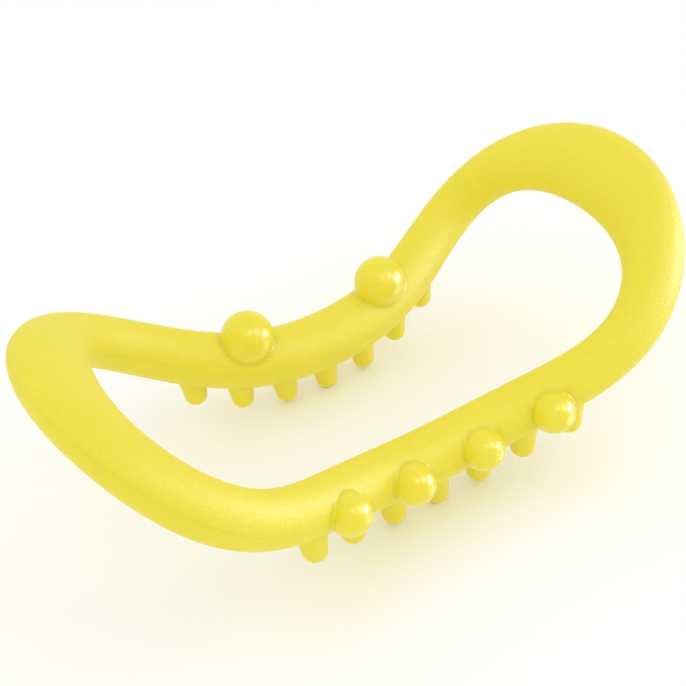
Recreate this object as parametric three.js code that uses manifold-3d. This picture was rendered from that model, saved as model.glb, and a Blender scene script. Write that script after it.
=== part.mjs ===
// Massage stretch ring: a closed peanut-shaped loop of hollow tube, bowed like a saddle, welded from
// an upper and a lower shell. Fourteen massage pegs are moulded with the lower shell, seven under
// each arm. Two large balls ride on top of the rear arm and four small ones on the side of the
// front arm, each held by a barbed stem in the upper shell.
// Millimetres. +X runs along the ring, +Y from the front arm to the rear arm, +Z up. The origin is
// under the middle of the ring, level with the tips of the two lowest pegs.
import * as THREE from 'three';
import { mergeVertices } from 'three/addons/utils/BufferGeometryUtils.js';
import Module from 'manifold-3d';

const wasm = await Module();
wasm.setup();

// The loop, laid flat
const LOOP_LENGTH = 628; // once round the middle of the tube
const WAIST_PINCH = 0.71; // how far the heading runs ahead at the quarter points, in radians
const SHOULDER_SQUARENESS = -0.21; // second term of the same series
const SHOULDER_TIGHTNESS = -0.086; // third term
const END_FLATNESS = 0.041; // fourth term

// The bow, along X
const BOW_RADIUS = 124.5; // at the middle of the arms
const BOW_SHOULDER = 0.3; // extra climb before the ends, in radians
const BOW_TIP = -0.51; // and its easing off at the ends

// The tube
const ARM_RADIUS = 10.7; // half the tube's thickness and breadth, averaged over the arms' middles
const REAR_FULLNESS = 0.058; // share by which the rear arm is fuller and the front arm slimmer
const END_THINNING = 0.18; // share of the thickness lost at the ends
const NECK_NARROWING = 0.88; // share of the breadth lost towards the shoulders
const END_BROADENING = 1.27; // and gained at the ends
const WALL = 3;

// The lap joint between the shells
const CLEARANCE = 0.3; // between any two pieces that touch
const LIP_THICKNESS = 1.5; // the upper shell's inner lip
const LIP_DEPTH = 2; // how far the lip reaches below the joint

// The pegs
const PEG_PITCH = 17.9; // along the bowed arm
const PEGS_EACH_SIDE = 3; // either side of the middle peg
const PEG_REACH = 22; // from the tube's middle down to the tip
const PEG_TIP_RADIUS = 4.5;
const PEG_ROOT_RADIUS = 6.3; // level with the tube's middle
const PEG_FLAT_RADIUS = 2; // flat at the very tip

// The balls
const LARGE_BALL = { radius: 10.2, stand: 12.3, lean: 105, stem: 3, barb: 4.1 };
const SMALL_BALL = { radius: 7.4, stand: 10.6, lean: 8, stem: 2, barb: 2.9 };
const LARGE_BALL_OFFSET = 32.8; // from the middle of the rear arm
const SMALL_BALL_OFFSETS = [-41.4, -14.1, 14.1, 41.4]; // along the front arm
const BARB_LENGTH = 2.4;
const BARB_TIP_SHARE = 0.6; // tip radius as a share of the barb's

// Fineness
const STATIONS = 80; // sections round the loop
const STEPS_PER_STATION = 8;
const OUTER_STEPS = 8; // round half a section
const INNER_STEPS = 5;
const BOW_STEPS = 64;
const PEG_SIDES = 12;
const PEG_TIP_STEPS = 3;
const STEM_SIDES = 12;
const BALL_SIDES = 20;
const BALL_RINGS = 11;

const REAR = 1;
const FRONT = -1;

// --- The centreline ---------------------------------------------------------------------------

// Direction of travel round the flat loop, with turn running from 0 to 2 pi.
function headingAt(turn) {
  return turn + Math.PI / 2
    + WAIST_PINCH * Math.sin(2 * turn)
    + SHOULDER_SQUARENESS * Math.sin(4 * turn)
    + SHOULDER_TIGHTNESS * Math.sin(6 * turn)
    + END_FLATNESS * Math.sin(8 * turn);
}

// Walks the heading round in short steps from the +X end, anticlockwise seen from above.
function flatLoop() {
  const steps = STATIONS * STEPS_PER_STATION;
  const stride = LOOP_LENGTH / steps;
  const points = [];
  let along = 0;
  let across = 0;
  for (let i = 0; i < steps; i += 1) {
    const turn = (i / steps) * 2 * Math.PI;
    points.push({ turn, along, across, heading: headingAt(turn) });
    const heading = headingAt(turn + Math.PI / steps);
    along += stride * Math.cos(heading);
    across += stride * Math.sin(heading);
  }
  const middle = points[steps / 2].along / 2;
  return points.map((point) => ({ ...point, along: point.along - middle }));
}

const loop = flatLoop();
const halfLength = loop[0].along;

// Slope of the bowed loop at a distance along it from the middle.
function slopeAt(along) {
  const share = along / halfLength;
  return along / BOW_RADIUS + BOW_SHOULDER * share ** 3 + BOW_TIP * share ** 5;
}

// Carries a point of the flat loop onto the bow, with the directions of the tube there.
function bow({ turn, along, across, heading }) {
  const stride = along / BOW_STEPS;
  let x = 0;
  let z = 0;
  for (let i = 0; i < BOW_STEPS; i += 1) {
    const slope = slopeAt((i + 0.5) * stride);
    x += stride * Math.cos(slope);
    z += stride * Math.sin(slope);
  }
  const slope = slopeAt(along);
  const forward = new THREE.Vector3(Math.cos(slope), 0, Math.sin(slope));
  const normal = new THREE.Vector3(-Math.sin(slope), 0, Math.cos(slope));
  const tangent = forward.multiplyScalar(Math.cos(heading)).setY(Math.sin(heading));
  const share = (along / halfLength) ** 2;
  const radius = ARM_RADIUS * (1 + REAR_FULLNESS * Math.sin(turn) ** 3);
  return {
    centre: new THREE.Vector3(x, across, z),
    normal,
    inward: new THREE.Vector3().crossVectors(normal, tangent),
    breadth: radius * (1 - NECK_NARROWING * share + END_BROADENING * share ** 2),
    thickness: radius * (1 - END_THINNING * share),
  };
}

const stations = loop.filter((point, i) => i % STEPS_PER_STATION === 0).map(bow);

// The tube on one arm, at a distance along the bow from the middle of the arm.
function armAt(along, arm) {
  const half = loop.slice(0, loop.length / 2);
  const next = half.findIndex((point) => point.along < along);
  const [before, after] = [half[next - 1], half[next]];
  const blend = (before.along - along) / (before.along - after.along);
  const across = before.across + blend * (after.across - before.across);
  const turn = before.turn + blend * (after.turn - before.turn);
  return {
    ...bow({ turn: arm * turn, along, across: arm * across, heading: Math.PI }),
    outward: new THREE.Vector3(0, arm, 0),
  };
}

// --- Solids -----------------------------------------------------------------------------------

function toSolid(geometry) {
  const bare = geometry.clone();
  bare.deleteAttribute('normal');
  bare.deleteAttribute('uv');
  const merged = mergeVertices(bare, 1e-4);
  const corners = merged.index.array;
  const triangles = [];
  for (let i = 0; i < corners.length; i += 3) {
    const [a, b, c] = [corners[i], corners[i + 1], corners[i + 2]];
    if (a !== b && b !== c && c !== a) {
      triangles.push(a, b, c);
    }
  }
  return new wasm.Manifold(new wasm.Mesh({
    numProp: 3,
    vertProperties: new Float32Array(merged.attributes.position.array),
    triVerts: new Uint32Array(triangles),
  }));
}

function toGeometry(solid) {
  const mesh = solid.getMesh();
  const geometry = new THREE.BufferGeometry();
  geometry.setAttribute('position', new THREE.BufferAttribute(mesh.vertProperties, 3));
  geometry.setIndex(new THREE.BufferAttribute(mesh.triVerts, 1));
  geometry.computeVertexNormals();
  return geometry;
}

// Carries a closed section, anticlockwise pairs of [inward, up], once round the loop.
function sweep(sectionAt) {
  const sections = stations.map(sectionAt);
  const count = sections[0].length;
  const positions = [];
  const index = [];
  stations.forEach(({ centre, inward, normal }, i) => {
    sections[i].forEach(([across, up], j) => {
      const point = centre.clone().addScaledVector(inward, across).addScaledVector(normal, up);
      positions.push(point.x, point.y, point.z);
      const ahead = (i + 1) % stations.length;
      const beside = (j + 1) % count;
      const [a, b] = [i * count + j, i * count + beside];
      const [c, d] = [ahead * count + j, ahead * count + beside];
      index.push(a, b, c, b, d, c);
    });
  });
  const geometry = new THREE.BufferGeometry();
  geometry.setAttribute('position', new THREE.Float32BufferAttribute(positions, 3));
  geometry.setIndex(index);
  return toSolid(geometry);
}

// Part of an ellipse, from one angle to another.
function arc(breadth, thickness, from, to, steps) {
  return Array.from({ length: steps + 1 }, (unused, i) => {
    const angle = from + ((to - from) * i) / steps;
    return [breadth * Math.cos(angle), thickness * Math.sin(angle)];
  });
}

// The whole tube grown by a margin, or shrunk by a negative one.
function tubeSolid(margin, steps) {
  return sweep(({ breadth, thickness }) => (
    arc(breadth + margin, thickness + margin, 0, 2 * Math.PI, 2 * steps).slice(0, -1)
  ));
}

// Turns a profile of [radius, height] pairs about Z.
function revolve(profile, sides) {
  const points = profile.map(([radius, height]) => new THREE.Vector2(radius, height));
  return toSolid(new THREE.LatheGeometry(points, sides).rotateX(Math.PI / 2));
}

// --- The shells -------------------------------------------------------------------------------

// Upper half of the wall, with a thin lip that reaches down inside the lower shell.
function upperSection({ breadth, thickness }) {
  const start = Math.asin(CLEARANCE / 2 / thickness);
  const outer = arc(breadth, thickness, start, Math.PI - start, OUTER_STEPS);
  const inner = arc(breadth - WALL, thickness - WALL, Math.PI, 0, INNER_STEPS);
  const lipInside = breadth - WALL;
  const lipOutside = lipInside + LIP_THICKNESS;
  return [
    ...outer,
    [-lipOutside, CLEARANCE / 2],
    [-lipOutside, -LIP_DEPTH],
    [-lipInside, -LIP_DEPTH],
    ...inner,
    [lipInside, -LIP_DEPTH],
    [lipOutside, -LIP_DEPTH],
    [lipOutside, CLEARANCE / 2],
  ];
}

// Lower half of the wall, rebated on its inner side for the lip.
function lowerSection({ breadth, thickness }) {
  const start = Math.asin(CLEARANCE / 2 / thickness);
  const outer = arc(breadth, thickness, Math.PI + start, 2 * Math.PI - start, OUTER_STEPS);
  const shelf = LIP_DEPTH + CLEARANCE;
  const inside = Math.asin(shelf / (thickness - WALL));
  const inner = arc(breadth - WALL, thickness - WALL, 2 * Math.PI - inside, Math.PI + inside, INNER_STEPS);
  const rebate = breadth - WALL + LIP_THICKNESS + CLEARANCE;
  return [
    ...outer,
    [rebate, -CLEARANCE / 2],
    [rebate, -shelf],
    ...inner,
    [-rebate, -shelf],
    [-rebate, -CLEARANCE / 2],
  ];
}

// A round-ended peg pointing down, from the tube's middle to its small flat tip.
function pegSolid() {
  const capTop = -PEG_REACH + Math.sqrt(PEG_TIP_RADIUS ** 2 - PEG_FLAT_RADIUS ** 2);
  const flatAngle = Math.acos(PEG_FLAT_RADIUS / PEG_TIP_RADIUS);
  const cap = arc(PEG_TIP_RADIUS, PEG_TIP_RADIUS, -flatAngle, 0, PEG_TIP_STEPS);
  return revolve([
    [0, -PEG_REACH],
    ...cap.map(([radius, up]) => [radius, capTop + up]),
    [PEG_ROOT_RADIUS, 0],
    [0, 0],
  ], PEG_SIDES);
}

function pegPlaces() {
  const places = [];
  for (let i = -PEGS_EACH_SIDE; i <= PEGS_EACH_SIDE; i += 1) {
    places.push(armAt(i * PEG_PITCH, FRONT).centre, armAt(i * PEG_PITCH, REAR).centre);
  }
  return places;
}

// Everything above the lower shell's rebate, out past the widest peg root.
function jointRoom({ breadth, thickness }) {
  const shelf = LIP_DEPTH + CLEARANCE;
  const reach = breadth + PEG_ROOT_RADIUS;
  return [[reach, -shelf], ...arc(reach, thickness, 0, Math.PI, OUTER_STEPS), [-reach, -shelf]];
}

// The pegs grow from the middle of the wall, so none shows inside the tube, and stop below the joint.
function lowerShell(balls) {
  const midWall = tubeSolid(-WALL / 2, OUTER_STEPS);
  const above = sweep(jointRoom);
  let shell = sweep(lowerSection);
  for (const { x, y, z } of pegPlaces()) {
    shell = shell.add(pegSolid().translate([x, y, z]).subtract(midWall).subtract(above));
  }
  return drilled(shell, balls);
}

function upperShell(balls) {
  return drilled(sweep(upperSection), balls);
}

// A shell with the balls' stem holes through it; a low ball's hole crosses the joint.
function drilled(shell, balls) {
  return balls.reduce((solid, ball) => solid.subtract(ball.hole), shell);
}

// --- The balls --------------------------------------------------------------------------------

// Turns a solid made along +Z to point along the ball's own axis, from the tube's middle outward.
function aim(solid, { centre, direction }) {
  const turn = new THREE.Quaternion().setFromUnitVectors(new THREE.Vector3(0, 0, 1), direction);
  const matrix = new THREE.Matrix4().compose(centre, turn, new THREE.Vector3(1, 1, 1));
  return solid.transform(matrix.toArray());
}

// A ball whose underside is saddled over the tube, on a stem through the wall with a barb inside.
function ballPiece(name, kind, along, arm) {
  const seat = armAt(along, arm);
  const lean = THREE.MathUtils.degToRad(kind.lean);
  const direction = seat.outward.clone().multiplyScalar(Math.cos(lean))
    .addScaledVector(seat.normal, Math.sin(lean));
  const place = { centre: seat.centre, direction };
  // The inner wall is made of flat facets, which stand closest to the middle half way along.
  const inside = (Math.min(seat.breadth, seat.thickness) - WALL) * Math.cos(Math.PI / 2 / INNER_STEPS);
  const shoulder = Math.sqrt(inside ** 2 - kind.barb ** 2) - CLEARANCE;
  const reach = kind.stand + kind.radius / 2;
  const stem = revolve([
    [0, shoulder - BARB_LENGTH],
    [kind.barb * BARB_TIP_SHARE, shoulder - BARB_LENGTH],
    [kind.barb, shoulder],
    [kind.stem, shoulder],
    [kind.stem, reach],
    [0, reach],
  ], STEM_SIDES);
  const hole = revolve([
    [0, 0],
    [kind.stem + CLEARANCE, 0],
    [kind.stem + CLEARANCE, reach],
    [0, reach],
  ], STEM_SIDES);
  const globe = toSolid(new THREE.SphereGeometry(kind.radius, BALL_SIDES, BALL_RINGS)).translate([0, 0, kind.stand]);
  return {
    name,
    centre: seat.centre.clone().addScaledVector(direction, kind.stand),
    solid: aim(globe, place).subtract(tubeSolid(CLEARANCE, OUTER_STEPS)).add(aim(stem, place)),
    hole: aim(hole, place),
  };
}

function ballPieces() {
  return [
    ballPiece('large_ball_left', LARGE_BALL, -LARGE_BALL_OFFSET, REAR),
    ballPiece('large_ball_right', LARGE_BALL, LARGE_BALL_OFFSET, REAR),
    ...SMALL_BALL_OFFSETS.map((along, i) => ballPiece(`small_ball_${i + 1}`, SMALL_BALL, along, FRONT)),
  ];
}

// --- Assembly ---------------------------------------------------------------------------------

// A mesh whose own origin is at the given place in the ring.
function meshOf(name, solid, place, color) {
  const geometry = toGeometry(solid).translate(-place.x, -place.y, -place.z);
  const material = new THREE.MeshStandardMaterial({ color, roughness: 0.5, metalness: 0 });
  const mesh = new THREE.Mesh(geometry, material);
  mesh.name = name;
  mesh.position.copy(place);
  return mesh;
}

function massageRing() {
  const yellow = 0xf2e44d;
  const ring = new THREE.Group();
  const middle = new THREE.Vector3(0, 0, 0);
  const balls = ballPieces();
  ring.add(meshOf('lower_shell', lowerShell(balls), middle, yellow));
  ring.add(meshOf('upper_shell', upperShell(balls), middle, yellow));
  for (const ball of balls) {
    ring.add(meshOf(ball.name, ball.solid, ball.centre, yellow));
  }
  ring.position.z = PEG_REACH;
  return ring;
}

const object = new THREE.Group();
object.add(massageRing());

export default object;
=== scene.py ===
import math

import bpy
import numpy as np
from mathutils import Matrix, Vector


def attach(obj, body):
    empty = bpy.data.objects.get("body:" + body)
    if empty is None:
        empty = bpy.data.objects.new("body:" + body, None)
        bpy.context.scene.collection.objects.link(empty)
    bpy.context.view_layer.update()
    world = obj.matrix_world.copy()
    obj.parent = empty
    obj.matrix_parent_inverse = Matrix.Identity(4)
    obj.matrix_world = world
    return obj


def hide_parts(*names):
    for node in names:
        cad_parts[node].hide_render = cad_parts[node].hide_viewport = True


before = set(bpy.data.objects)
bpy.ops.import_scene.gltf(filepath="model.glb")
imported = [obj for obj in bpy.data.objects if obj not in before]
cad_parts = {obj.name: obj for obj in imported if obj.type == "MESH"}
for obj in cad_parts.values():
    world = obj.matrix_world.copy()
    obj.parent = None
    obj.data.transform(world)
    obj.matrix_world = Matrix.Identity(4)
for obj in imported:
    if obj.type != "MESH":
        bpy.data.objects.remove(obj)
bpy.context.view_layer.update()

MM = 0.001

# The loop, laid flat
LOOP_LENGTH = 628 * MM
WAIST_PINCH = 0.71
SHOULDER_SQUARENESS = -0.21
SHOULDER_TIGHTNESS = -0.086
END_FLATNESS = 0.041

# The bow, along X
BOW_RADIUS = 124.5 * MM
BOW_SHOULDER = 0.3
BOW_TIP = -0.51

# The tube
ARM_RADIUS = 10.7 * MM
REAR_FULLNESS = 0.058
END_THINNING = 0.18
NECK_NARROWING = 0.88
END_BROADENING = 1.27
WALL = 3 * MM

# The joint between the shells, closed by welding to a hairline
HAIRLINE = 0.01 * MM
LIP_THICKNESS = 1.5 * MM
LIP_DEPTH = 2 * MM

# The pegs
PEG_PITCH = 17.9 * MM
PEGS_EACH_SIDE = 3
PEG_REACH = 22 * MM
PEG_TIP_RADIUS = 4.5 * MM
PEG_ROOT_RADIUS = 6.3 * MM
PEG_FLAT_RADIUS = 2 * MM
PEG_FILLET = 1.0 * MM

# The balls
LARGE_BALL = dict(radius=10.2 * MM, stand=12.3 * MM, lean=105, stem=3 * MM, barb=4.1 * MM)
SMALL_BALL = dict(radius=7.4 * MM, stand=10.6 * MM, lean=8, stem=2 * MM, barb=2.9 * MM)
LARGE_BALL_OFFSETS = {"large_ball_left": -32.8 * MM, "large_ball_right": 32.8 * MM}
SMALL_BALL_OFFSETS = [-41.4 * MM, -14.1 * MM, 14.1 * MM, 41.4 * MM]
BALL_FLARE = 0.8 * MM
BARB_LENGTH = 2.4 * MM
BARB_TIP_SHARE = 0.6
STEM_CLEARANCE = 0.3 * MM

REAR = 1
FRONT = -1

# Fineness
TABLE_STEPS = 16384
BOW_STEPS = 4000
STATIONS = 600
OUTER_STEPS = 36
INNER_STEPS = 16
PEG_SIDES = 48
PEG_CAP_RINGS = 10
PEG_SHAFT_RINGS = 7
PEG_FILLET_RINGS = 7
BALL_SIDES = 64
BALL_SADDLE_SHARES = (0.0, 0.33, 0.66)
BALL_BLEND_RINGS = 8
BALL_GLOBE_RINGS = 29
SHARP_EDGE = math.radians(35)

# Searches
NUDGE = 1e-4
NEWTON_ROUNDS = 12
FOOT_ROUNDS = 4
HALVINGS = 30
SEARCH_REACH = 900
SEARCH_STRIDE = 3


# --- The centreline ---------------------------------------------------------------------------

def heading(turn):
    """Direction of travel round the flat loop: once round with the turn, plus a sine series of
    its double, fourth, sixth and eighth multiples, which pinches the waist and shapes the ends."""
    return (turn + math.pi / 2 + WAIST_PINCH * np.sin(2 * turn) + SHOULDER_SQUARENESS * np.sin(4 * turn)
            + SHOULDER_TIGHTNESS * np.sin(6 * turn) + END_FLATNESS * np.sin(8 * turn))


def slope(along, half_length):
    """Slope of the bow: an arc's, plus a cube and a fifth power of the share of the half length."""
    share = along / half_length
    return along / BOW_RADIUS + BOW_SHOULDER * share ** 3 + BOW_TIP * share ** 5


def running_sum(values, stride):
    """Sum of the values so far times the stride, starting from nought."""
    return np.concatenate([[0.0], np.cumsum(values) * stride])


def centreline_table():
    """The flat loop by summing short steps along its heading, then carried onto the bow by summing
    the cosine and sine of the slope out from the middle."""
    turn = np.arange(TABLE_STEPS + 1) / TABLE_STEPS * 2 * math.pi
    between = (turn[1:] + turn[:-1]) / 2
    stride = LOOP_LENGTH / TABLE_STEPS
    along = running_sum(np.cos(heading(between)), stride)
    across = running_sum(np.sin(heading(between)), stride)
    along = along - along[TABLE_STEPS // 2] / 2
    half_length = along[0]
    reach = np.linspace(-half_length, half_length, BOW_STEPS + 1)
    middle = slope((reach[1:] + reach[:-1]) / 2, half_length)
    forward = running_sum(np.cos(middle), reach[1] - reach[0])
    rise = running_sum(np.sin(middle), reach[1] - reach[0])
    x = np.interp(along, reach, forward - forward[BOW_STEPS // 2])
    z = np.interp(along, reach, rise - rise[BOW_STEPS // 2])
    return dict(turn=turn, along=along, half_length=half_length,
                centre=np.stack([x, across, z + PEG_REACH], axis=-1))


TABLE = centreline_table()


def tube_at(turn):
    """Centre, directions and half sizes of the tube at each turn. Inward and normal are square to
    the direction of travel, and the normal is also square to Y."""
    turn = np.asarray(turn) % (2 * math.pi)
    centre = np.stack([np.interp(turn, TABLE["turn"], TABLE["centre"][:, i]) for i in range(3)], axis=-1)
    along = np.interp(turn, TABLE["turn"], TABLE["along"])
    tilt = slope(along, TABLE["half_length"])
    nought = np.zeros_like(tilt)
    forward = np.stack([np.cos(tilt), nought, np.sin(tilt)], axis=-1)
    normal = np.stack([-np.sin(tilt), nought, np.cos(tilt)], axis=-1)
    way = heading(turn)[..., None]
    travel = np.cos(way) * forward + np.sin(way) * np.array([0.0, 1.0, 0.0])
    share = (along / TABLE["half_length"]) ** 2
    radius = ARM_RADIUS * (1 + REAR_FULLNESS * np.sin(turn) ** 3)
    return dict(centre=centre, travel=travel, normal=normal, inward=np.cross(normal, travel),
                breadth=radius * (1 - NECK_NARROWING * share + END_BROADENING * share ** 2),
                thickness=radius * (1 - END_THINNING * share))


def tube_surface(turn, angle):
    """Outer face of the tube: an ellipse round the centreline, from the inward side over the top."""
    tube = tube_at(turn)
    across = (tube["breadth"] * np.cos(angle))[..., None] * tube["inward"]
    return tube["centre"] + across + (tube["thickness"] * np.sin(angle))[..., None] * tube["normal"]


def arm_turn(along, arm):
    """The turn at a distance along one arm from its middle. Travel runs back along the rear arm."""
    half = TABLE_STEPS // 2
    if arm == REAR:
        return np.interp(along, TABLE["along"][half::-1], TABLE["turn"][half::-1])
    return np.interp(along, TABLE["along"][half:], TABLE["turn"][half:])


# --- Meshes -----------------------------------------------------------------------------------

def ring_faces(rows, count, looped=False):
    """Quads between neighbouring rows of a grid whose rows close on themselves. In a looped grid the
    last row also joins the first."""
    row, column = np.meshgrid(np.arange(rows if looped else rows - 1), np.arange(count), indexing="ij")
    beside = (column + 1) % count
    here = row * count
    ahead = (row + 1) % rows * count
    quads = [here + column, here + beside, ahead + beside, ahead + column]
    return np.stack(quads, axis=-1).reshape(-1, 4)


def capped_rings(rings, foot, crown):
    """A closed surface from rings stacked upwards, with a pole below the first and over the last."""
    rows, count = rings.shape[:2]
    points = np.concatenate([rings.reshape(-1, 3), [foot, crown]])
    column = np.arange(count)
    beside = (column + 1) % count
    last = (rows - 1) * count
    below = np.stack([np.full(count, rows * count), beside, column], axis=-1)
    above = np.stack([np.full(count, rows * count + 1), last + column, last + beside], axis=-1)
    return points, [ring_faces(rows, count), below, above]


def add_piece(name, parts, material):
    """One mesh object from closed surfaces, each given as its points and its lists of faces."""
    points = []
    faces = []
    start = 0
    for part_points, part_faces in parts:
        points.append(part_points)
        faces.extend(face for group in part_faces for face in (group + start).tolist())
        start += len(part_points)
    mesh = bpy.data.meshes.new(name)
    mesh.from_pydata(np.concatenate(points).tolist(), [], faces)
    mesh.shade_smooth()
    mesh.set_sharp_from_angle(angle=SHARP_EDGE)
    mesh.materials.append(material)
    piece = bpy.data.objects.new(name, mesh)
    bpy.context.scene.collection.objects.link(piece)
    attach(piece, "root")
    return piece


# --- The shells -------------------------------------------------------------------------------

def ellipse_arc(breadth, thickness, start, end, steps):
    """Part of an ellipse in each section, evenly spaced in its angle."""
    share = np.linspace(0, 1, steps + 1)
    angle = start[:, None] + (end - start)[:, None] * share
    return np.stack([breadth[:, None] * np.cos(angle), thickness[:, None] * np.sin(angle)], axis=-1)


def corners(*pairs):
    """Single section points, each an inward and an upward distance for every station."""
    return np.stack([np.stack(np.broadcast_arrays(*pair), axis=-1) for pair in pairs], axis=1)


def shell_surface(section_of):
    """A section carried once round the loop."""
    tube = tube_at(np.arange(STATIONS) / STATIONS * 2 * math.pi)
    section = section_of(tube["breadth"], tube["thickness"])
    points = (tube["centre"][:, None] + section[..., :1] * tube["inward"][:, None]
              + section[..., 1:] * tube["normal"][:, None])
    return points.reshape(-1, 3), [ring_faces(STATIONS, section.shape[1], looped=True)]


def upper_section(breadth, thickness):
    """Upper half of the wall, with a lip down inside the joint."""
    start = np.arcsin(HAIRLINE / 2 / thickness)
    nought = np.zeros_like(breadth)
    outer = ellipse_arc(breadth, thickness, start, math.pi - start, OUTER_STEPS)
    inner = ellipse_arc(breadth - WALL, thickness - WALL, nought + math.pi, nought, INNER_STEPS)
    lip_inside = breadth - WALL
    lip_outside = lip_inside + LIP_THICKNESS
    joint = HAIRLINE / 2
    left = corners((-lip_outside, joint), (-lip_outside, -LIP_DEPTH), (-lip_inside, -LIP_DEPTH))
    right = corners((lip_inside, -LIP_DEPTH), (lip_outside, -LIP_DEPTH), (lip_outside, joint))
    return np.concatenate([outer, left, inner, right], axis=1)


def lower_section(breadth, thickness):
    """Lower half of the wall, rebated on the inside for the lip."""
    start = np.arcsin(HAIRLINE / 2 / thickness)
    shelf = LIP_DEPTH + HAIRLINE
    inside = np.arcsin(shelf / (thickness - WALL))
    outer = ellipse_arc(breadth, thickness, math.pi + start, 2 * math.pi - start, OUTER_STEPS)
    inner = ellipse_arc(breadth - WALL, thickness - WALL, 2 * math.pi - inside, math.pi + inside,
                        INNER_STEPS)
    rebate = breadth - WALL + LIP_THICKNESS + HAIRLINE
    joint = -HAIRLINE / 2
    right = corners((rebate, joint), (rebate, -shelf))
    left = corners((-rebate, -shelf), (-rebate, joint))
    return np.concatenate([outer, right, inner, left], axis=1)


def underside_height(x, y, turn):
    """Height of the tube's underside over each x and y: the turn and the section angle are moved
    together until the surface point stands over the place asked for."""
    turn = np.full_like(x, turn)
    angle = np.full_like(x, -math.pi / 2)
    for _ in range(NEWTON_ROUNDS):
        here = tube_surface(turn, angle)
        by_turn = (tube_surface(turn + NUDGE, angle) - here) / NUDGE
        by_angle = (tube_surface(turn, angle + NUDGE) - here) / NUDGE
        miss_x = x - here[..., 0]
        miss_y = y - here[..., 1]
        scale = by_turn[..., 0] * by_angle[..., 1] - by_turn[..., 1] * by_angle[..., 0]
        turn = turn + (miss_x * by_angle[..., 1] - miss_y * by_angle[..., 0]) / scale
        angle = angle + (miss_y * by_turn[..., 0] - miss_x * by_turn[..., 1]) / scale
    return tube_surface(turn, angle)[..., 2]


def peg_surface(along, arm):
    """A peg: a small flat tip, a round cap, a drafted shaft, and a quarter-round fillet that ends
    flush with the tube's underside. The last ring and the pole are buried in the wall."""
    turn = arm_turn(along, arm)
    axis = tube_at(turn)["centre"]
    bearing = np.arange(PEG_SIDES) / PEG_SIDES * 2 * math.pi
    cap_rise = math.sqrt(PEG_TIP_RADIUS ** 2 - PEG_FLAT_RADIUS ** 2)
    cap_centre = axis[2] - PEG_REACH + cap_rise
    draft = (PEG_ROOT_RADIUS - PEG_TIP_RADIUS) / (axis[2] - cap_centre)

    def at(radius, height):
        radius, height = np.broadcast_arrays(radius, height)
        east = axis[0] + radius * np.cos(bearing)
        north = axis[1] + radius * np.sin(bearing)
        return np.stack([east, north, height], axis=-1)

    def tube_height(radius):
        place = at(radius, 0 * bearing)
        return underside_height(place[..., 0], place[..., 1], turn)

    foot_radius = np.full(PEG_SIDES, (PEG_TIP_RADIUS + PEG_ROOT_RADIUS) / 2)
    for _ in range(FOOT_ROUNDS):
        foot_height = tube_height(foot_radius) - PEG_FILLET
        foot_radius = PEG_TIP_RADIUS + draft * (foot_height - cap_centre)
    flat_angle = math.acos(PEG_FLAT_RADIUS / PEG_TIP_RADIUS)
    cap_angle = np.linspace(-flat_angle, -math.atan(draft), PEG_CAP_RINGS)[:, None]
    cap = at(PEG_TIP_RADIUS * np.cos(cap_angle) + 0 * bearing,
             cap_centre + PEG_TIP_RADIUS * np.sin(cap_angle))
    share = np.linspace(0, 1, PEG_SHAFT_RINGS + 1)[1:, None]
    shoulder_radius = PEG_TIP_RADIUS * math.cos(cap_angle[-1, 0])
    shoulder_height = cap[-1, :, 2]
    shaft = at(shoulder_radius * (1 - share) + foot_radius * share,
               shoulder_height * (1 - share) + foot_height * share)
    quarter = np.linspace(0, math.pi / 2, PEG_FILLET_RINGS + 1)[1:, None]
    flare = foot_radius + PEG_FILLET * (1 - np.cos(quarter))
    fillet_base = np.stack([tube_height(ring) for ring in flare])
    fillet = at(flare, fillet_base - PEG_FILLET * (1 - np.sin(quarter)))
    buried = at(flare[-1], fillet[-1, :, 2] + WALL / 3)[None]
    rings = np.concatenate([cap, shaft, fillet, buried])
    foot = [axis[0], axis[1], cap[0, 0, 2]]
    crown = [axis[0], axis[1], buried[0, :, 2].mean()]
    return capped_rings(rings, foot, crown)


def make_shells(plastic):
    upper = add_piece("upper_shell_moulding", [shell_surface(upper_section)], plastic)
    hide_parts("upper_shell")
    pegs = [peg_surface(i * PEG_PITCH, arm) for arm in (FRONT, REAR)
            for i in range(-PEGS_EACH_SIDE, PEGS_EACH_SIDE + 1)]
    lower = add_piece("lower_shell_moulding", [shell_surface(lower_section), *pegs], plastic)
    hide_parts("lower_shell")


# --- The balls --------------------------------------------------------------------------------

def tube_address(points, turn):
    """The turn and the section angle at which each point faces the tube, and how far it is outside
    as a share of the section: nought on its face. The nearest place on the centreline is looked up
    in a short stretch of the table."""
    step = 2 * math.pi / TABLE_STEPS
    near = turn + np.arange(-SEARCH_REACH, SEARCH_REACH + 1, SEARCH_STRIDE) * step
    stretch = tube_at(near)
    gaps = points[..., None, :] - stretch["centre"]
    nearest = np.argmin((gaps ** 2).sum(-1), axis=-1)
    offset = np.take_along_axis(gaps, nearest[..., None, None], axis=-2)[..., 0, :]
    slip = (offset * stretch["travel"][nearest]).sum(-1)
    facing = near[nearest] + slip / LOOP_LENGTH * 2 * math.pi
    tube = tube_at(facing)
    offset = points - tube["centre"]
    across = (offset * tube["inward"]).sum(-1) / (tube["breadth"] + HAIRLINE)
    up = (offset * tube["normal"]).sum(-1) / (tube["thickness"] + HAIRLINE)
    return facing, np.arctan2(up, across) % (2 * math.pi), np.hypot(across, up) - 1


def meeting(point_at, low, high, turn):
    """Halves the span of a parameter until each point lies on the tube's face. The low end starts
    outside the tube and the high end inside it."""
    for _ in range(HALVINGS):
        middle = (low + high) / 2
        outside = tube_address(point_at(middle), turn)[2] > 0
        low = np.where(outside, middle, low)
        high = np.where(outside, high, middle)
    return (low + high) / 2


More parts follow.
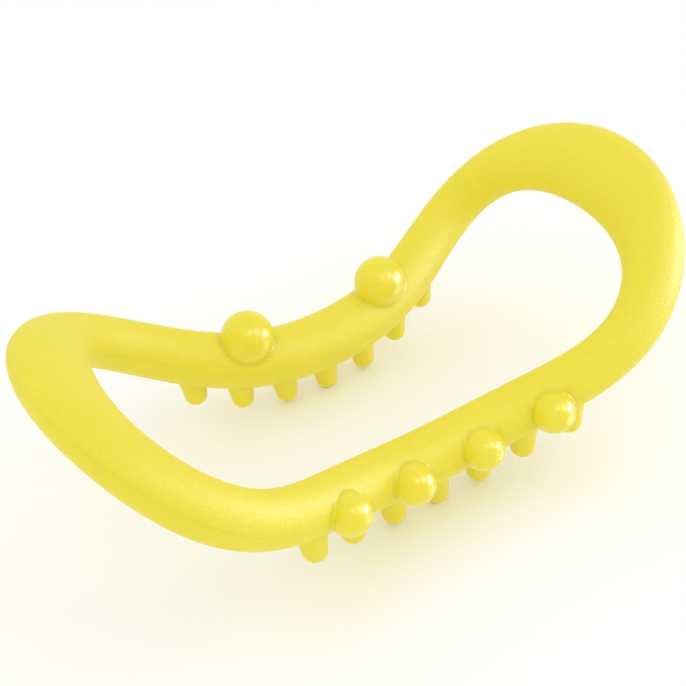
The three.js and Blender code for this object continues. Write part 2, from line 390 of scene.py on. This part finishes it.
def ball_surface(kind, along, arm):
    """A ball whose underside follows the tube, with a stem through the wall and a barb inside.
    Rings run from the barb's tip up the stem, out over the saddle, up a blend and up the globe. The
    blend is a quadratic curve from the tube's face to the globe, bent to where they would meet."""
    turn = arm_turn(along, arm)
    tube = tube_at(turn)
    lean = math.radians(kind["lean"])
    axis = math.cos(lean) * np.array([0.0, arm, 0.0]) + math.sin(lean) * tube["normal"]
    side = np.cross(axis, tube["travel"])
    side = side / np.linalg.norm(side)
    front = np.cross(side, axis)
    bearing = np.arange(BALL_SIDES) / BALL_SIDES * 2 * math.pi
    spoke = np.cos(bearing)[:, None] * front + np.sin(bearing)[:, None] * side
    radius = kind["radius"]
    stand = kind["stand"]
    stem_radius = kind["stem"]
    barb = kind["barb"]

    def at(reach, height):
        reach, height = np.broadcast_arrays(reach, height)
        return tube["centre"] + reach[..., None] * spoke + height[..., None] * axis

    def on_globe(polar):
        return at(radius * np.sin(polar), stand + radius * np.cos(polar))

    def on_tube(reach):
        drop = meeting(lambda fall: at(reach, stand - fall), nought, nought + stand, turn)
        return at(reach, stand - drop)

    nought = np.zeros(BALL_SIDES)
    base = meeting(on_globe, nought + math.radians(60), nought + math.radians(170), turn)
    base_reach = radius * np.sin(base)
    saddle = [on_tube(stem_radius + part * (base_reach - stem_radius)) for part in BALL_SADDLE_SHARES]
    spread = 1 + BALL_FLARE / base_reach
    seat_turn, seat_angle, _ = tube_address(on_globe(base), turn)
    axis_angle = tube_address((tube["centre"] + axis * stand)[None], turn)[1]
    foot_ring = tube_surface(turn + spread * (seat_turn - turn),
                             axis_angle + spread * (seat_angle - axis_angle))
    waist = base - BALL_FLARE / radius
    share = np.linspace(0, 1, BALL_BLEND_RINGS + 1)[:-1, None, None]
    blend = ((1 - share) ** 2 * foot_ring + 2 * share * (1 - share) * on_globe(base)
             + share ** 2 * on_globe(waist))
    globe = on_globe(waist * np.linspace(1, 0, BALL_GLOBE_RINGS + 1)[:-1, None])
    inside = min(tube["breadth"], tube["thickness"]) - WALL
    shoulder = math.sqrt(inside ** 2 - barb ** 2) - STEM_CLEARANCE
    stem = [at(barb * BARB_TIP_SHARE + nought, shoulder - BARB_LENGTH + nought),
            at(barb + nought, shoulder + nought),
            at(stem_radius + nought, shoulder + nought)]
    rings = np.concatenate([np.stack(stem), np.stack(saddle), blend, globe])
    foot = tube["centre"] + (shoulder - BARB_LENGTH) * axis
    crown = tube["centre"] + (stand + radius) * axis
    return capped_rings(rings, foot, crown)


def make_balls(plastic):
    places = [(name, LARGE_BALL, along, REAR) for name, along in LARGE_BALL_OFFSETS.items()]
    places += [(f"small_ball_{i + 1}", SMALL_BALL, along, FRONT)
               for i, along in enumerate(SMALL_BALL_OFFSETS)]
    for name, kind, along, arm in places:
        ball = add_piece(name + "_moulding", [ball_surface(kind, along, arm)], plastic)
        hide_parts(name)


# --- Finishes ---------------------------------------------------------------------------------

def linear(hex_colour):
    """An sRGB hex colour as linear red, green, blue and alpha."""
    channels = [int(hex_colour[i:i + 2], 16) / 255 for i in (1, 3, 5)]
    return [c / 12.92 if c <= 0.04045 else ((c + 0.055) / 1.055) ** 2.4 for c in channels] + [1.0]


def add_node(tree, kind, inputs=None, **settings):
    """Adds a shader node, sets its properties, and sets or links its inputs."""
    made = tree.nodes.new(kind)
    for name, value in settings.items():
        setattr(made, name, value)
    for name, value in (inputs or {}).items():
        if isinstance(value, bpy.types.NodeSocket):
            tree.links.new(value, made.inputs[name])
        else:
            made.inputs[name].default_value = value
    return made


def blank_material(name):
    material = bpy.data.materials.new(name)
    material.use_nodes = True
    material.node_tree.nodes.clear()
    return material


def remapped(tree, value, low, high):
    """A noise value, over the middle of its range, as a value between two others."""
    return add_node(tree, "ShaderNodeMapRange",
                    {"Value": value, "From Min": 0.3, "From Max": 0.7,
                     "To Min": low, "To Max": high}).outputs["Result"]


def moulded_satin_vinyl(name, grain_depth, roughness):
    """Injection-moulded satin vinyl, coloured right through. The spark-eroded mould leaves an even
    grain that breaks up the highlights. Its pits are painted a shade darker, a painted shadow standing
    in for the shade that falls in them, and the colour clouds very slightly where it flowed."""
    grain_size = 0.7 * MM
    cloud_size = 35 * MM
    roughness_spread = 0.05
    # painted shadow: the colour multiplied darker in the grain's pits, standing in for the shade inside
    # them
    painted_pit_shadow = (0.95, 0.95, 0.9, 1.0)
    material = blank_material(name)
    tree = material.node_tree
    place = add_node(tree, "ShaderNodeTexCoord").outputs["Object"]
    grain = add_node(tree, "ShaderNodeTexNoise",
                     {"Vector": place, "Scale": 1 / grain_size, "Detail": 2.0,
                      "Roughness": 0.6}).outputs["Fac"]
    cloud = add_node(tree, "ShaderNodeTexNoise",
                     {"Vector": place, "Scale": 1 / cloud_size, "Detail": 1.0,
                      "Roughness": 0.5}).outputs["Fac"]
    colour = add_node(tree, "ShaderNodeMix",
                      {"Factor": cloud, "A": linear("#ECDB2B"), "B": linear("#F0E133")},
                      data_type="RGBA")
    # multiplies painted shadow into the colour where the grain is low, in its pits
    shaded = add_node(tree, "ShaderNodeMix",
                      {"Factor": remapped(tree, grain, 1.0, 0.0), "A": colour.outputs["Result"],
                       "B": painted_pit_shadow}, data_type="RGBA", blend_type="MULTIPLY")
    shine = remapped(tree, grain, roughness - roughness_spread, roughness + roughness_spread)
    bump = add_node(tree, "ShaderNodeBump",
                    {"Height": grain, "Strength": 1.0, "Distance": grain_depth})
    shader = add_node(tree, "ShaderNodeBsdfPrincipled",
                      {"Base Color": shaded.outputs["Result"], "Roughness": shine,
                       "Normal": bump.outputs["Normal"], "IOR": 1.5, "Subsurface Weight": 0.15,
                       "Subsurface Radius": (1.0, 0.8, 0.2), "Subsurface Scale": 2.5 * MM})
    add_node(tree, "ShaderNodeOutputMaterial", {"Surface": shader.outputs["BSDF"]})
    return material


def studio_paper():
    """Matt seamless studio paper, almost white, with a faint tooth."""
    tooth_size = 1.5 * MM
    material = blank_material("matt_studio_paper")
    tree = material.node_tree
    place = add_node(tree, "ShaderNodeTexCoord").outputs["Object"]
    tooth = add_node(tree, "ShaderNodeTexNoise",
                     {"Vector": place, "Scale": 1 / tooth_size, "Detail": 2.0})
    bump = add_node(tree, "ShaderNodeBump",
                    {"Height": tooth.outputs["Fac"], "Strength": 0.1, "Distance": 0.05 * MM})
    shader = add_node(tree, "ShaderNodeBsdfPrincipled",
                      {"Base Color": linear("#FBFBFA"), "Roughness": 0.9,
                       "Normal": bump.outputs["Normal"]})
    add_node(tree, "ShaderNodeOutputMaterial", {"Surface": shader.outputs["BSDF"]})
    return material


# --- The studio: degrees for the camera, metres and watts for the lights ----------------------

CAMERA_AZIMUTH = -25.5
CAMERA_ELEVATION = 39.4
CAMERA_ROLL = -7.9
CAMERA_DISTANCE = 392.1 * MM
CAMERA_LENS = 55.59
CAMERA_SHIFT = (-0.0428, 0.0733)
FLOOR_SIZE = 8
WORLD_STRENGTH = 1.03


def camera_axes():
    """Right, up and backward directions of the camera, from its azimuth, elevation and roll."""
    azimuth = math.radians(CAMERA_AZIMUTH)
    elevation = math.radians(CAMERA_ELEVATION)
    roll = math.radians(CAMERA_ROLL)
    back = Vector((math.sin(azimuth) * math.cos(elevation), -math.cos(azimuth) * math.cos(elevation),
                   math.sin(elevation)))
    level = Vector((math.cos(azimuth), math.sin(azimuth), 0))
    upright = back.cross(level)
    right = math.cos(roll) * level + math.sin(roll) * upright
    up = -math.sin(roll) * level + math.cos(roll) * upright
    return right, up, back


def make_camera():
    right, up, back = camera_axes()
    camera = bpy.data.objects.new("camera", bpy.data.cameras.new("camera"))
    camera.data.lens = CAMERA_LENS
    camera.data.shift_x, camera.data.shift_y = CAMERA_SHIFT
    camera.data.clip_start = 0.01
    turn = Matrix((right, up, back)).transposed().to_4x4()
    place = Vector((0, 0, PEG_REACH)) + back * CAMERA_DISTANCE
    camera.matrix_world = Matrix.Translation(place) @ turn
    bpy.context.scene.collection.objects.link(camera)
    bpy.context.scene.camera = camera


def add_softbox(name, direction, distance, size, watts, shine_only=False):
    """A softbox, placed by its direction from the ring as right, up and toward the camera, its size
    in metres. One that is for shine only puts a highlight on the plastic and adds nothing to its
    colour, and the floor, which stays out of reflections, lets the lowest one show."""
    right, up, back = camera_axes()
    middle = Vector((0, 0, 40 * MM))
    way = (direction[0] * right + direction[1] * up + direction[2] * back).normalized()
    light = bpy.data.objects.new(name, bpy.data.lights.new(name, "AREA"))
    light.data.shape = "RECTANGLE"
    light.data.size, light.data.size_y = size
    light.data.energy = watts
    light.visible_diffuse = not shine_only
    facing = way.to_track_quat("Z", "Y").to_matrix().to_4x4()
    light.matrix_world = Matrix.Translation(middle + way * distance) @ facing
    bpy.context.scene.collection.objects.link(light)


def make_studio():
    half = FLOOR_SIZE / 2
    floor_mesh = bpy.data.meshes.new("floor")
    floor_mesh.from_pydata([(-half, -half, 0), (half, -half, 0), (half, half, 0), (-half, half, 0)], [],
                           [(0, 1, 2, 3)])
    floor_mesh.materials.append(studio_paper())
    floor = bpy.data.objects.new("floor", floor_mesh)
    bpy.context.scene.collection.objects.link(floor)
    floor.visible_glossy = False

    add_softbox("key_softbox", (0.5, 0.6, 0.6), 0.9, (0.5, 0.5), 0.4)
    add_softbox("side_shine", (0.98, 0.2, 0.0), 1.0, (0.5, 0.4), 18, shine_only=True)
    add_softbox("low_shine", (0.91, -0.37, -0.2), 0.7, (0.4, 0.4), 2.4, shine_only=True)
    add_softbox("upper_shine", (0.7, 0.36, 0.62), 0.9, (0.3, 0.3), 2.8, shine_only=True)
    add_softbox("front_shine", (0.2, 0.3, 0.93), 0.8, (0.1, 0.1), 1.2, shine_only=True)
    world = bpy.data.worlds.new("white_room")
    world.use_nodes = True
    background = world.node_tree.nodes["Background"]
    background.inputs["Color"].default_value = (1, 1, 1, 1)
    background.inputs["Strength"].default_value = WORLD_STRENGTH
    bpy.context.scene.world = world
    bpy.context.scene.view_settings.view_transform = "Standard"


make_camera()
make_studio()
make_shells(moulded_satin_vinyl("moulded_satin_vinyl", 0.25 * MM, 0.54))
make_balls(moulded_satin_vinyl("moulded_satin_vinyl_smoother", 0.08 * MM, 0.3))
